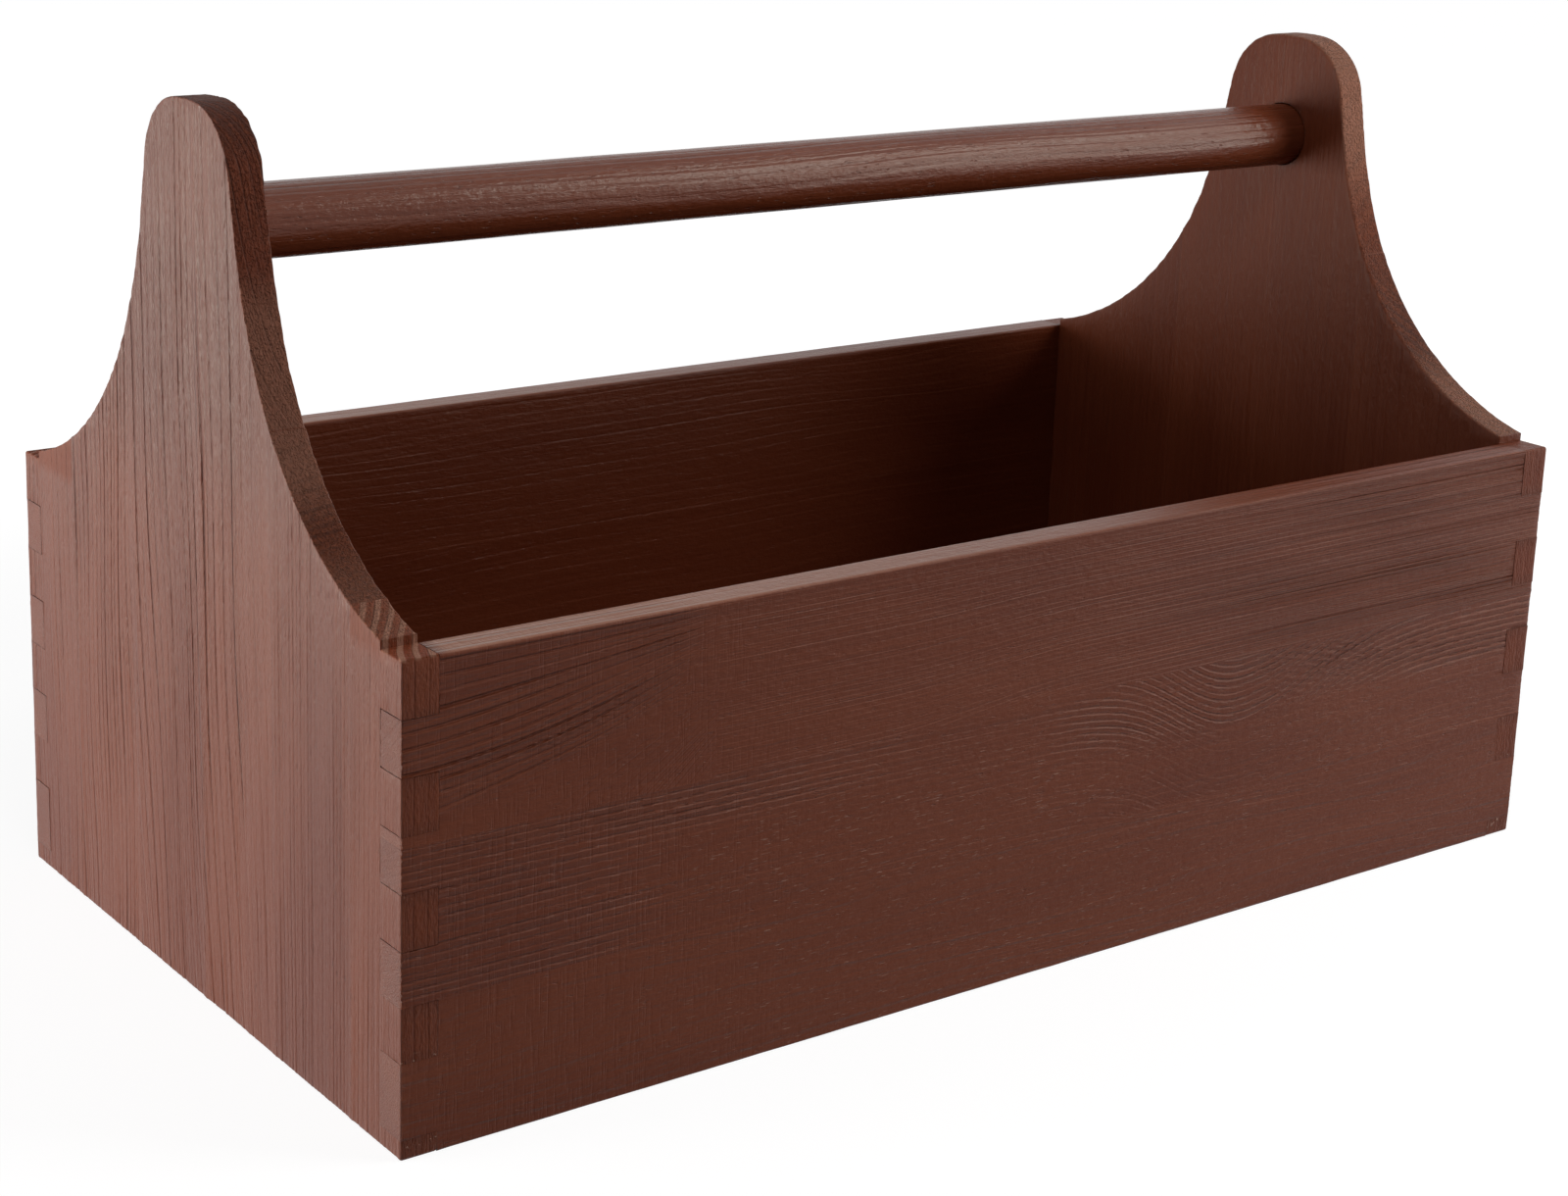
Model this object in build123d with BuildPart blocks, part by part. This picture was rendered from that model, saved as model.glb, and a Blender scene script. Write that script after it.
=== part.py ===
from build123d import *
from itertools import pairwise
import os

os.makedirs("parts", exist_ok=True)

# An open wooden tool carrier: four glued-up boards with finger joints at the corners, a bottom
# panel held in a groove, and a round carrying handle glued between the two tall ends.
# Millimetres. X runs along the box, the front is at -Y, and Z is up from the underside.

# Box
box_length = 560.0
box_width = 305.0
box_height = 175.0
board = 14.0  # thickness of every board
arris = 1.5  # rounding of the outer edges, sanded after gluing
rim_arris = 1.0  # rounding of the rim's inner edge
edge_bevel = 1.0  # bevel along the sawn outline of the ends

# Finger joints, counted down from the rim
finger = 20.0  # height of one finger
foot_finger = 7.5  # the short finger of the ends that closes the corner at the floor

# Tall ends, measured up from the rim
neck_rise = 160.0  # from the rim to the middle of the rounded top
crown_half_width = 29.5  # where the crown would meet the straight flank
crown_drop = 3.0  # how much lower the crown is there
crown_corner = 28.0  # radius between the crown and the flank
flank_foot_half_width = 37.0  # where the straight flank ends
flank_foot_rise = 119.0
sweep_joint_half_width = 47.0  # where the slack upper curve turns into the tighter lower one
sweep_joint_rise = 84.0
saw_step = 3.0  # the sweep stops this far above the shoulder

# Handle
handle_diameter = 28.0
handle_rise = 115.0  # the handle's axis above the rim
socket_depth = 9.0  # blind socket in each end
glue_film = 0.1  # between the handle and its socket, on the radius
handle_chamfer = 1.0

# Bottom panel
panel_thickness = 5.0
panel_lift = 8.0  # underside of the panel above the floor
groove_depth = 6.0
groove_play = 0.2  # above the panel
panel_edge_play = 0.5  # between the panel's edge and the groove's end

# Edge-glued staves; those between a panel's first and last share what is left of its width
end_stave_count = 6
board_stave_count = 3
left_first_stave = 34.0  # the ends' first stave is at the front
left_last_stave = 47.0
right_first_stave = 42.0
right_last_stave = 39.0
top_stave = 64.0
bottom_stave = 55.0

# Levels and places that follow
top = box_height + neck_rise
handle_height = box_height + handle_rise
half_length = box_length / 2
half_width = box_width / 2
inner_half_length = half_length - board
inner_half_width = half_width - board
side_finger_count = int((box_height - foot_finger) // (2 * finger))
panel_length = 2 * (inner_half_length + groove_depth)
panel_width = 2 * (inner_half_width + groove_depth)


def side_finger_spans():
    """Lowest and highest level of each finger of the long boards; the last reaches the foot finger."""
    spans = []
    for count in range(side_finger_count):
        high = box_height - (2 * count + 1) * finger
        is_last = count == side_finger_count - 1
        low = foot_finger if is_last else high - finger
        spans.append((low, high))
    return spans


def end_finger_spans():
    """Lowest and highest level of each finger of the ends, between those of the long boards."""
    levels = [0.0]
    for low, high in reversed(side_finger_spans()):
        levels += [low, high]
    levels.append(box_height)
    return [(levels[i], levels[i + 1]) for i in range(0, len(levels), 2)]


def glue_lines(start, end, first, last, count):
    """Places across a panel where one stave ends and the next begins, both edges included."""
    between = (end - start - first - last) / (count - 2)
    return [start, *(start + first + number * between for number in range(count - 1)), end]


def write(piece, name):
    piece.part.label = name
    export_step(piece.part, f"parts/{name}.step")


# The sanded outside of the whole box, which every board is trimmed to
with BuildPart() as sanded_outside:
    Box(box_length, box_width, box_height, align=(Align.CENTER, Align.CENTER, Align.MIN))
    fillet(sanded_outside.edges(), radius=arris)
    with Locations((0, 0, box_height / 2)):
        Box(box_length, 2 * inner_half_width, top, align=(Align.CENTER, Align.CENTER, Align.MIN))

# The room that the bottom panel takes in the boards
with BuildPart() as groove_room:
    with Locations((0, 0, panel_lift)):
        Box(
            panel_length + 2 * panel_edge_play,
            panel_width + 2 * panel_edge_play,
            panel_thickness + groove_play,
            align=(Align.CENTER, Align.CENTER, Align.MIN),
        )


def end_outline():
    """One end's outline: box below, neck above, the two joined by a long concave sweep."""
    crown_level = top - crown_drop
    with BuildSketch() as outline:
        with BuildLine():
            crown = ThreePointArc(
                (-crown_half_width, crown_level), (0, top), (crown_half_width, crown_level)
            )
            with BuildLine(mode=Mode.PRIVATE) as one_side:
                flank = Line(crown @ 1, (flank_foot_half_width, box_height + flank_foot_rise))
                upper = TangentArc(
                    flank @ 1,
                    (sweep_joint_half_width, box_height + sweep_joint_rise),
                    tangent=flank % 1,
                )
                lower = TangentArc(
                    upper @ 1, (inner_half_width, box_height + saw_step), tangent=upper % 1
                )
                Polyline(
                    lower @ 1,
                    (inner_half_width, box_height),
                    (half_width, box_height),
                    (half_width, 0),
                    (0, 0),
                )
            add(one_side.line)
            add(mirror(one_side.line, about=Plane.YZ, mode=Mode.PRIVATE))
        make_face()
        crown_corners = outline.vertices().filter_by_position(
            Axis.Y, crown_level - crown_drop / 2, crown_level + crown_drop / 2
        )
        fillet(crown_corners, radius=crown_corner)
    return outline.sketch


def end_panel(side):
    """A whole end before it is seen as staves; side is -1 for the left end and 1 for the right."""
    outer_face = Plane.YZ.offset(side * half_length)
    inner_face = Plane.YZ.offset(side * inner_half_length)
    with BuildPart() as panel:
        with BuildSketch(outer_face):
            add(end_outline())
        extrude(amount=-side * board)
        above_rim = panel.edges().filter_by_position(Axis.Z, box_height + saw_step, top + arris)
        sawn = above_rim.filter_by(Axis.X, reverse=True)
        chamfer(sawn, length=edge_bevel)
        for low, high in side_finger_spans():
            with Locations((side * half_length, 0, low)):
                for edge in (-1, 1):
                    with Locations((0, edge * half_width, 0)):
                        Box(
                            2 * board,
                            2 * board,
                            high - low,
                            align=(Align.CENTER, Align.CENTER, Align.MIN),
                            mode=Mode.SUBTRACT,
                        )
        with BuildSketch(inner_face):
            with Locations((0, handle_height)):
                Circle(handle_diameter / 2 + glue_film)
        extrude(amount=side * socket_depth, mode=Mode.SUBTRACT)
        add(groove_room.part, mode=Mode.SUBTRACT)
        add(sanded_outside.part, mode=Mode.INTERSECT)
    return panel.part


def side_panel(side):
    """A whole long board; side is -1 for the front and 1 for the back."""
    middle = side * (half_width + inner_half_width) / 2
    with BuildPart() as panel:
        with Locations((0, middle, 0)):
            Box(box_length, board, box_height, align=(Align.CENTER, Align.CENTER, Align.MIN))
        rim = panel.edges().filter_by(Axis.X).group_by(Axis.Z)[-1]
        inner_rim = rim.sort_by(Axis.Y)[0 if side > 0 else -1]
        fillet(inner_rim, radius=rim_arris)
        for low, high in end_finger_spans():
            for end in (-1, 1):
                with Locations((end * half_length, middle, low)):
                    Box(
                        2 * board,
                        2 * board,
                        high - low,
                        align=(Align.CENTER, Align.CENTER, Align.MIN),
                        mode=Mode.SUBTRACT,
                    )
        add(groove_room.part, mode=Mode.SUBTRACT)
        add(sanded_outside.part, mode=Mode.INTERSECT)
    return panel.part


def write_end_staves(side, first, last, name):
    """The upright staves of one end, numbered from the front."""
    panel = end_panel(side)
    lines = glue_lines(-half_width, half_width, first, last, end_stave_count)
    for number, (near, far) in enumerate(pairwise(lines), 1):
        with BuildPart() as piece:
            add(panel)
            with Locations((0, near, 0)):
                Box(
                    box_length,
                    far - near,
                    top,
                    align=(Align.CENTER, Align.MIN, Align.MIN),
                    mode=Mode.INTERSECT,
                )
        write(piece, f"{name}_stave_{number}")


def write_side_staves(side, name):
    """The level staves of one long board, numbered from the rim down."""
    panel = side_panel(side)
    lines = glue_lines(0, box_height, top_stave, bottom_stave, board_stave_count)
    for number, (below_rim, next_below_rim) in enumerate(pairwise(lines), 1):
        with BuildPart() as piece:
            add(panel)
            with Locations((0, 0, box_height - next_below_rim)):
                Box(
                    box_length,
                    box_width,
                    next_below_rim - below_rim,
                    align=(Align.CENTER, Align.CENTER, Align.MIN),
                    mode=Mode.INTERSECT,
                )
        write(piece, f"{name}_stave_{number}")


write_end_staves(-1, left_first_stave, left_last_stave, "left_end")
write_end_staves(1, right_first_stave, right_last_stave, "right_end")
write_side_staves(-1, "front_board")
write_side_staves(1, "back_board")

# Bottom panel, lying on the lower face of its groove
with BuildPart() as bottom_panel:
    with Locations((0, 0, panel_lift)):
        Box(
            panel_length,
            panel_width,
            panel_thickness,
            align=(Align.CENTER, Align.CENTER, Align.MIN),
        )
write(bottom_panel, "bottom_panel")

# Carrying handle, a plain round rod that bottoms in both sockets
handle_half_length = inner_half_length + socket_depth
with BuildPart() as handle:
    with BuildSketch(Plane.YZ.offset(-handle_half_length)):
        with Locations((0, handle_height)):
            Circle(handle_diameter / 2)
    extrude(amount=2 * handle_half_length)
    chamfer(handle.edges().filter_by(GeomType.CIRCLE), length=handle_chamfer)
write(handle, "carrying_handle")
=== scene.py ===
import math
import random
from collections.abc import Callable
from dataclasses import dataclass

import bmesh
import bpy
import numpy as np
from mathutils import Matrix, Vector
from mathutils.geometry import delaunay_2d_cdt


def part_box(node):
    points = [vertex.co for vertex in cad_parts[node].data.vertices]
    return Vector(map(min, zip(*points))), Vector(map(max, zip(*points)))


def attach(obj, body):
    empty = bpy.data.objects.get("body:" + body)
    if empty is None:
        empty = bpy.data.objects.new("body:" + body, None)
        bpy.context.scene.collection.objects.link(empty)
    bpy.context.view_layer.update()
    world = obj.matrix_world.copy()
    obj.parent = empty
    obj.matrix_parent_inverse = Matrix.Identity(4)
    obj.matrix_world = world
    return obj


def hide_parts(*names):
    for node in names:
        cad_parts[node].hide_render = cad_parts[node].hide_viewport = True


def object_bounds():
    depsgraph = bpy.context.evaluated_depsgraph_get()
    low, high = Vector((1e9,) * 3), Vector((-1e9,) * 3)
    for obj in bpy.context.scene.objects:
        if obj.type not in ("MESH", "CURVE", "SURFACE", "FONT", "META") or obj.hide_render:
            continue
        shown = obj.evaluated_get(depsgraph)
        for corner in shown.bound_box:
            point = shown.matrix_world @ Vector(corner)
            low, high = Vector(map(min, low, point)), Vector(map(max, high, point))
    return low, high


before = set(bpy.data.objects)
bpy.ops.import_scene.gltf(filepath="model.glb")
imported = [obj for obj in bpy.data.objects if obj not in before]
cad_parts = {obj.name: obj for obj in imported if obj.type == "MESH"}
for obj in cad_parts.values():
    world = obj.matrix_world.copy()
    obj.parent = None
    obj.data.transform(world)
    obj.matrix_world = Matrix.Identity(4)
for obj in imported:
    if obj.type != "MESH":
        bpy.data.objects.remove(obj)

cad_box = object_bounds()

# Lengths are worked out in millimetres and turned into metres where a mesh is made
MM = 0.001

# Box, read from the frame
low_corner, high_corner = (np.array(corner) / MM for corner in cad_box)
half_length = high_corner[0]
half_width = high_corner[1]
top = high_corner[2]
front_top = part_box("front_board_stave_1")[1]
rim = front_top.z / MM
board = half_width - abs(front_top.y) / MM  # thickness of every board
inner_half_length = half_length - board
inner_half_width = half_width - board
panel_low, panel_high = (np.array(corner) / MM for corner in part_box("bottom_panel"))
handle_low, handle_high = (np.array(corner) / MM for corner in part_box("carrying_handle"))
handle_radius = (handle_high[2] - handle_low[2]) / 2
handle_height = (handle_high[2] + handle_low[2]) / 2

# Finger joints, counted down from the rim
finger = 20.0
foot_finger = 7.5

# Outline of the tall ends, measured from the middle and from the rim
crown_half_width = 29.5
crown_drop = 3.0
crown_corner = 28.0
flank_foot = np.array([37.0, rim + 119.0])
sweep_joint = np.array([47.0, rim + 84.0])
saw_step = 3.0

# Roundings
outer_arris = 0.8
rim_arris = 0.9
sawn_arris = 0.5
corner_round = 1.1  # in the plane of the end, more than the arris that follows it
joint_arris = 0.16
glue_arris = 0.03
joint_varies, plain_varies, sawn_varies = (0.4, 1.6), (0.8, 1.2), (0.4, 1.9)  # as shares
arris_steps = 3
arris_wear = (0.4, 1.0, 1.0, 0.4, 0.0)  # from the face to the wall

# Grid of the faces: fine across the grain, coarse along it, and finer along the sawn edges
across_step = 1.25
fine_step = 0.55  # across the grain of the boards whose outside the photograph shows
along_step = 5.0
sawn_step = 1.2
crown_steps, flank_steps, upper_steps, lower_steps = 14, 10, 24, 90  # points along the sweep
round_steps = 96  # points round the handle and its sockets
same_edge = 1.0  # a stave that ends this close to the board's edge ends there
merge_distance = 0.002
same_point = 1e-4

# Grain that is pressed into the meshes
ring_chances = 997  # length of the table of how much single rings differ
hollow_share = 0.018  # hollow between two rings, for each millimetre between them
widest_hollow = 8.0
unevenness = 0.05
deepest_relief = 0.6
box_margin = 0.005  # the meshes end this far inside the CAD box

# Camera, from the edges of the box in the photograph
image_width, image_height = 1600, 1220
focal_pixels = 2889.5
centre_pixel = (688.2, 461.6)
camera_place = (-0.7024, -0.8954, 0.4650)
camera_forward = (0.5595, 0.7903, -0.2498)
camera_up = (0.1224, 0.2194, 0.9679)
sensor_width = 36.0


# Outlines

def on_circle(centre, radius, angles):
    return [centre + radius * np.array([math.cos(a), math.sin(a)]) for a in angles]


def tangent_arc(start, direction, end, steps):
    """The arc that leaves start along direction and ends at end, without start itself.

    Its points and its last direction.
    """
    start, direction, end = (np.array(v, float) for v in (start, direction, end))
    direction /= np.linalg.norm(direction)
    chord = end - start
    side = np.array([-direction[1], direction[0]])
    radius = chord @ chord / (2 * (chord @ side))
    centre = start + side * radius
    first = math.atan2(*(start - centre)[::-1])
    turn = 2 * math.asin(np.linalg.norm(chord) / 2 / abs(radius)) * math.copysign(1, radius)
    angles = first + turn * np.arange(1, steps + 1) / steps
    last = np.array([-math.sin(angles[-1]), math.cos(angles[-1])]) * math.copysign(1, radius)
    return on_circle(centre, abs(radius), angles), last


def crown_points(steps):
    """The rounded top from its middle to where it meets the flank, and the flank's direction."""
    level = top - crown_drop
    radius = (crown_half_width ** 2 + crown_drop ** 2) / (2 * crown_drop)
    centre = np.array([0.0, top - radius])
    corner = np.array([crown_half_width, level])
    flank = (flank_foot - corner) / np.linalg.norm(flank_foot - corner)
    inward = np.array([flank[1], -flank[0]])
    inward *= -math.copysign(1, inward[0])
    on_line = corner + inward * crown_corner
    gap = on_line - centre
    along = -(gap @ flank) - math.sqrt((gap @ flank) ** 2 - gap @ gap + (radius - crown_corner) ** 2)
    pivot = on_line + flank * along
    crown_touch = math.atan2(*(pivot - centre)[::-1])
    flank_touch = math.atan2(*(-inward)[::-1])
    corner_angles = np.linspace(crown_touch, flank_touch, 2 * steps)[1:]
    points = on_circle(centre, radius, np.linspace(math.pi / 2, crown_touch, steps))
    return points + on_circle(pivot, crown_corner, corner_angles), flank


def sweep_chain():
    """The sawn edge of an end, from the middle of the top to the foot of the sweep."""
    points, flank = crown_points(crown_steps)
    start = points[-1]
    points += [start + (flank_foot - start) * t for t in np.linspace(0, 1, flank_steps)[1:]]
    upper, direction = tangent_arc(flank_foot, flank, sweep_joint, upper_steps)
    end = (inner_half_width, rim + saw_step)
    lower, _ = tangent_arc(upper[-1], direction, end, lower_steps)
    return points + upper + lower


def side_finger_spans():
    """Lowest and highest level of each finger of the long boards, from the top down."""
    count = int((rim - foot_finger) // (2 * finger))
    spans = [(rim - (2 * n + 2) * finger, rim - (2 * n + 1) * finger) for n in range(count)]
    spans[-1] = (foot_finger, spans[-1][1])
    return spans


def end_fingers():
    """Lowest and highest level of each finger of the ends."""
    levels = [0.0, *sorted(level for span in side_finger_spans() for level in span), rim]
    return list(zip(levels[::2], levels[1::2]))


def clip_chain(chain, near, far):
    """The part of a chain of (place, height) points between two places, cut points included."""
    places = [p[0] for p in chain]
    heights = [p[1] for p in chain]
    inside = [tuple(p) for p in chain if near + 1e-6 < p[0] < far - 1e-6]
    first = (near, float(np.interp(near, places, heights)))
    last = (far, float(np.interp(far, places, heights)))
    return [first, *inside, last]


class Outline:
    """A closed outline, anticlockwise; each edge carries its arris radius on both faces."""

    def __init__(self):
        self.points = []
        self.arrises = []

    def to(self, point, outer, inner):
        """Adds a corner, or changes the last one; the radii belong to the edge that leaves it."""
        if self.points and math.dist(self.points[-1], point) < same_point:
            self.arrises[-1] = (outer, inner)
        else:
            self.points.append(tuple(float(v) for v in point))
            self.arrises.append((outer, inner))

    def round_off(self, corner, before, after, outer, inner):
        """Adds a small arc in place of a corner between two directions."""
        radius, steps = corner_round, 3
        corner, before, after = (np.array(v, float) for v in (corner, before, after))
        start, end = corner - before * radius, corner + after * radius
        centre = start + after * radius
        points = [start]
        for n in range(1, steps):
            angle = math.pi / 2 * n / steps
            out, on = after * radius * math.cos(angle), before * radius * math.sin(angle)
            points.append(centre - out + on)
        for point in [*points, end]:
            self.to(point, outer, inner)

    def resampled(self, step_u, step_v):
        """The outline with long edges cut into steps."""
        made = Outline()
        if math.dist(self.points[0], self.points[-1]) < same_point:
            del self.points[-1], self.arrises[-1]
        count = len(self.points)
        for n, (point, arris) in enumerate(zip(self.points, self.arrises)):
            following = self.points[(n + 1) % count]
            du, dv = following[0] - point[0], following[1] - point[1]
            if arris[0] == sawn_arris:
                pieces = max(1, round(math.hypot(du, dv) / sawn_step))
            else:
                pieces = max(1, round(math.hypot(du / step_u, dv / step_v)))
            for k in range(pieces):
                t = k / pieces
                made.to((point[0] + du * t, point[1] + dv * t), *arris)
        return made


def notched_edge(spans, below, above, proud, sunk):
    """Corners (reach, level) up an edge between two levels, proud where there is a finger."""
    between_them = (level for span in spans for level in span if below < level < above)
    levels = sorted({below, above, *between_them})
    chain = []
    for start, end in zip(levels, levels[1:]):
        middle = (start + end) / 2
        is_finger = any(span[0] < middle < span[1] for span in spans)
        reach = proud if is_finger else sunk
        chain += [(reach, start), (reach, end)]
    return chain


def add_notches(outline, chain):
    """Adds a notched edge; straight runs at full reach are tips, the rest are joint faces."""
    proud = max(abs(reach) for reach, _ in chain)
    for (reach, level), (next_reach, next_level) in zip(chain, chain[1:]):
        is_tip = reach == next_reach and abs(reach) == proud
        if (reach, level) != (next_reach, next_level):
            outline.to((reach, level), outer_arris if is_tip else joint_arris, joint_arris)


def fingered_edge(side):
    """The fingered edge of an end, from the floor up; side is -1 for the front and 1 for the back."""
    edge = notched_edge(end_fingers(), 0, rim, side * half_width, side * inner_half_width)
    edge[0] = (side * half_width, corner_round)
    edge[-1] = (side * half_width, rim - corner_round)
    return edge


def end_stave_outline(near, far):
    """One upright stave of an end in (y, z), seen from +X."""
    half = sweep_chain()
    chain = [(-y, z) for y, z in reversed(half)][:-1] + half
    chain = [(-inner_half_width - 1e-3, rim), *chain, (inner_half_width + 1e-3, rim)]
    is_front, is_back = near <= -half_width + same_edge, far >= half_width - same_edge
    outline = Outline()
    if is_front:
        outline.round_off((near, 0), (0, -1), (1, 0), outer_arris, outer_arris)
    else:
        outline.to((near, 0), outer_arris, outer_arris)
    if is_back:
        outline.round_off((far, 0), (1, 0), (0, 1), outer_arris, joint_arris)
        add_notches(outline, fingered_edge(1))
        outline.round_off((far, rim), (0, 1), (-1, 0), outer_arris, joint_arris)
        outline.to((inner_half_width, rim), joint_arris, joint_arris)
    else:
        outline.to((far, 0), glue_arris, glue_arris)
    sawn = clip_chain(chain, max(near, -inner_half_width), min(far, inner_half_width))
    for point in reversed(sawn):
        outline.to(point, sawn_arris, rim_arris)
    outline.arrises[-1] = (glue_arris, glue_arris)
    if is_front:
        outline.arrises[-1] = (joint_arris, joint_arris)
        outline.to((-inner_half_width, rim), outer_arris, joint_arris)
        outline.round_off((near, rim), (-1, 0), (0, -1), outer_arris, joint_arris)
        add_notches(outline, fingered_edge(-1)[::-1])
    return outline


def board_stave_outline(below, above):
    """One level stave of a long board in (x, z), seen from the front."""
    spans = side_finger_spans()
    is_rim, is_foot = above >= rim - same_edge, below <= same_edge
    right = notched_edge(spans, below, above, half_length, inner_half_length)
    left = [(-reach, level) for reach, level in reversed(right)]
    outline = Outline()
    lower = outer_arris if is_foot else glue_arris
    outline.to(left[-1], lower, lower)
    add_notches(outline, right)
    upper = (outer_arris, rim_arris) if is_rim else (glue_arris, glue_arris)
    outline.to(right[-1], *upper)
    add_notches(outline, left)
    return outline


def rectangle_outline(first, last, arris):
    outline = Outline()
    for u, v in ((first[0], first[1]), (last[0], first[1]), (last[0], last[1]), (first[0], last[1])):
        outline.to((u, v), arris, arris)
    return outline


# Meshes

def inset(points, radii, share):
    """The outline moved inwards by each edge's radius times share, mitred at the corners."""
    nearly_straight = 0.08
    points = np.array(points)
    edges = np.roll(points, -1, axis=0) - points
    lengths = np.linalg.norm(edges, axis=1, keepdims=True)
    directions = edges / lengths
    inward = np.stack([-directions[:, 1], directions[:, 0]], 1)
    amounts = np.array(radii) * share
    moved = []
    for n in range(len(points)):
        d0, d1 = directions[n - 1], directions[n]
        n0, n1 = inward[n - 1], inward[n]
        a0, a1 = amounts[n - 1], amounts[n]
        turn = d0[0] * d1[1] - d0[1] * d1[0]
        if abs(turn) < nearly_straight:
            normal = (n0 + n1) / np.linalg.norm(n0 + n1)
            moved.append(points[n] + normal * (a0 + a1) / 2)
        else:
            start = points[n] + n0 * a0
            gap = points[n] + n1 * a1 - start
            along = (gap[0] * d1[1] - gap[1] * d1[0]) / turn
            moved.append(start + d0 * along)
    return np.array(moved)


def corner_radii(radii):
    """A radius for each corner, between those of its two edges."""
    return (np.array(radii) + np.roll(radii, 1)) / 2


def ragged(radii, seed, least, most):
    """Radii that vary along the edge, as a saw and sandpaper leave them."""
    draw = random.Random(seed)
    shares = np.array([draw.uniform(least, most) for _ in radii])
    shares = (shares + 0.5 * np.roll(shares, 1)) / 1.5
    return np.array(radii) * shares


def face_grid(ring, step_u, step_v):
    """Triangles that fill a ring of points, with grid points inside it."""
    clear_of_ring = 0.45  # in grid steps
    ring = np.array(ring)
    first, last = ring.min(0), ring.max(0)
    us = np.arange(math.floor(first[0] / step_u), math.ceil(last[0] / step_u) + 1) * step_u
    vs = np.arange(math.floor(first[1] / step_v), math.ceil(last[1] / step_v) + 1) * step_v
    grid = np.stack(np.meshgrid(us, vs), -1).reshape(-1, 2)
    crossings = np.zeros(len(grid), int)
    nearest = np.full(len(grid), np.inf)
    scale = np.array([step_u, step_v])
    for a, b in zip(ring, np.roll(ring, -1, axis=0)):
        spans = (a[1] > grid[:, 1]) != (b[1] > grid[:, 1])
        with np.errstate(divide="ignore", invalid="ignore"):
            meets = a[0] + (grid[:, 1] - a[1]) * (b[0] - a[0]) / (b[1] - a[1])
        crossings += spans & (grid[:, 0] < meets)
        edge = (b - a) / scale
        offset = (grid - a) / scale
        t = np.clip(offset @ edge / max(edge @ edge, 1e-12), 0, 1)
        nearest = np.minimum(nearest, np.linalg.norm(offset - t[:, None] * edge, axis=1))
    inner = grid[(crossings % 2 == 1) & (nearest > clear_of_ring)]
    count = len(ring)
    points = [Vector(p / scale) for p in np.vstack([ring, inner])]
    edges = [(n, (n + 1) % count) for n in range(count)]
    found, _, faces, origins, _, _ = delaunay_2d_cdt(points, edges, [], 1, 1e-7)
    index = []
    for place, group in zip(found, origins):
        if not group:
            inner = np.vstack([inner, np.array(place) * scale])
        index.append(group[0] if group else count + len(inner) - 1)
    triangles = [[index[v] for v in face] for face in faces]
    return inner, triangles


def new_mesh(name, places, faces):
    """A mesh from places in millimetres."""
    mesh = bpy.data.meshes.new(name)
    mesh.from_pydata((np.array(places) * MM).tolist(), [], faces)
    return mesh


def new_object(name, data):
    made = bpy.data.objects.new(name, data)
    bpy.context.scene.collection.objects.link(made)
    return made


def face_outwards(mesh, merge=0.0):
    """Turns all faces outwards, after joining points that are closer than merge."""
    shell = bmesh.new()
    shell.from_mesh(mesh)
    if merge:
        bmesh.ops.remove_doubles(shell, verts=shell.verts, dist=merge * MM)
    bmesh.ops.recalc_face_normals(shell, faces=shell.faces)
    shell.to_mesh(mesh)
    shell.free()


def vectors(items, name):
    """One vector of each vertex or face, in rows."""
    values = np.empty(len(items) * 3, np.float32)
    items.foreach_get(name, values)
    return values.reshape(-1, 3)


def vertex_places(mesh):
    return vectors(mesh.vertices, "co") / MM


def keep(mesh, name, values):
    """Stores one number per vertex for the material to read."""
    layer = mesh.attributes.get(name) or mesh.attributes.new(name, "FLOAT", "POINT")
    layer.data.foreach_set("value", np.ascontiguousarray(values, np.float32))


def kept(mesh, name):
    """What keep() stored, or zeros where it stored nothing."""
    values = np.zeros(len(mesh.vertices), np.float32)
    if name in mesh.attributes:
        mesh.attributes[name].data.foreach_get("value", values)
    return values


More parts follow.
